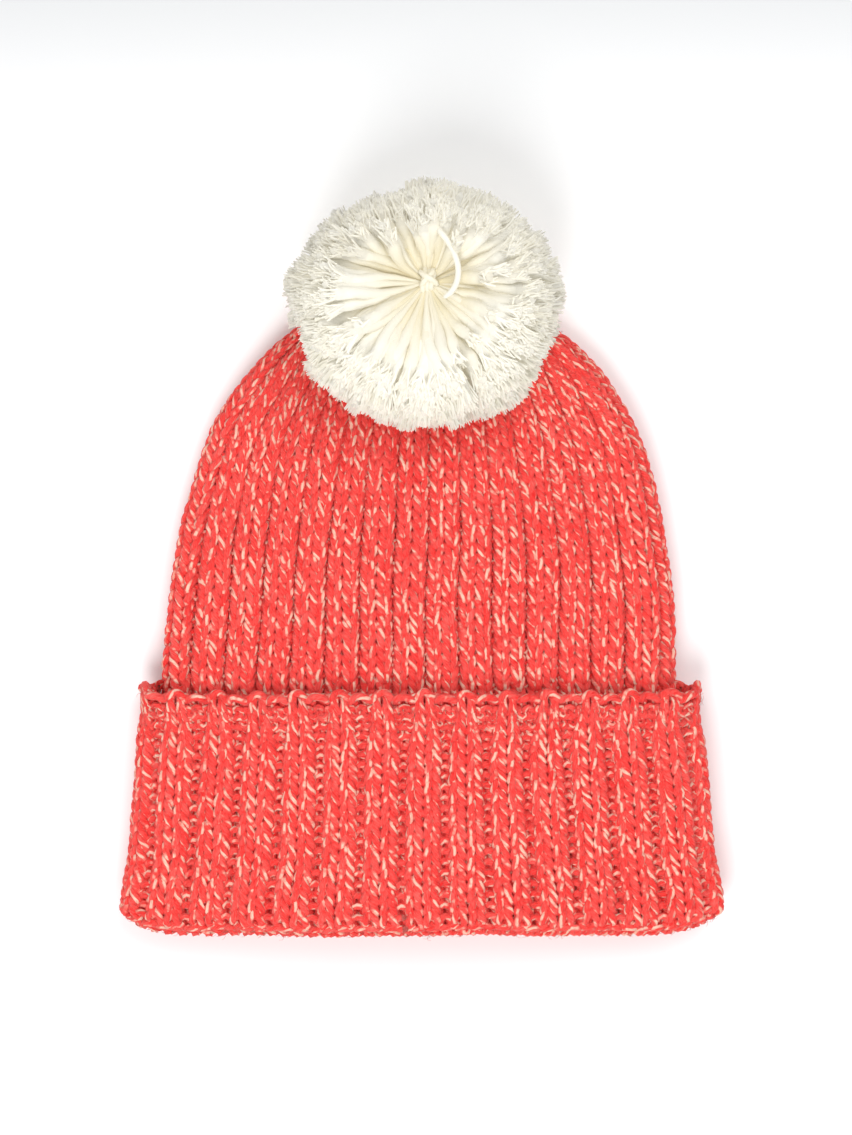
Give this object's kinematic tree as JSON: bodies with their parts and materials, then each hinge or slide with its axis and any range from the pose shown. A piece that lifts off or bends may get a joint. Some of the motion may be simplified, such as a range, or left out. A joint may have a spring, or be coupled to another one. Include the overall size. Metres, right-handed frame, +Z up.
{
  "type": "pom pom beanie",
  "caption": "Chunky rib-knit beanie with a turned-up cuff, a gathered crown and a yarn pom pom, lying flat on its back.",
  "frame": {"origin": "centre of the footprint, on the surface that the hat lies on", "axes": "+Z up, away from the surface; +Y from the brim to the pom pom; +X to the wearer's left as the front is seen from above"},
  "size_m": [0.2292, 0.2872, 0.0771],
  "materials": {
    "marled_knit": "fuzzy plied wool blend yarn, coral red with cream flecks",
    "red_yarn": "plied coral red yarn",
    "ivory_pompom_yarn": "soft ivory yarn, brushed cut ends",
    "ivory_tie_yarn": "twisted ivory yarn"
  },
  "bodies": {
    "back_half": {"crown_back": "marled_knit", "body_back": "marled_knit", "inner_band_back": "marled_knit", "cuff_back": "marled_knit", "turning_ridge_back": "marled_knit", "cast_on_edge_back": "marled_knit"},
    "front_half": {"crown_front": "marled_knit", "body_front": "marled_knit", "inner_band_front": "marled_knit", "cuff_front": "marled_knit", "turning_ridge_front": "marled_knit", "cast_on_edge_front": "marled_knit", "crown_gather_yarn": "red_yarn"},
    "pompom_anchor": {"pompom_anchor_yarn": "ivory_tie_yarn", "anchor_knot": "ivory_tie_yarn"},
    "pompom": {"pompom_strands": "ivory_pompom_yarn", "pompom_tie": "ivory_tie_yarn", "tie_knot": "ivory_tie_yarn", "tie_tail": "ivory_tie_yarn"}
  },
  "joints": [
    {"name": "brim_open", "type": "hinge", "parent": "back_half", "child": "front_half", "pos_m": [0, 0.101, 0.008], "axis": [-1, 0, 0], "range_deg": [0, 12]},
    {"name": "pompom_nod", "type": "hinge", "parent": "front_half", "child": "pompom_anchor", "pos_m": [0.002, 0.103, 0.014], "axis": [-1, 0, 0], "range_deg": [0, 20]},
    {"name": "pompom_sway", "type": "hinge", "parent": "pompom_anchor", "child": "pompom", "pos_m": [0.002, 0.103, 0.03], "axis": [0, 0, 1], "range_deg": [-20, 20]}
  ]
}
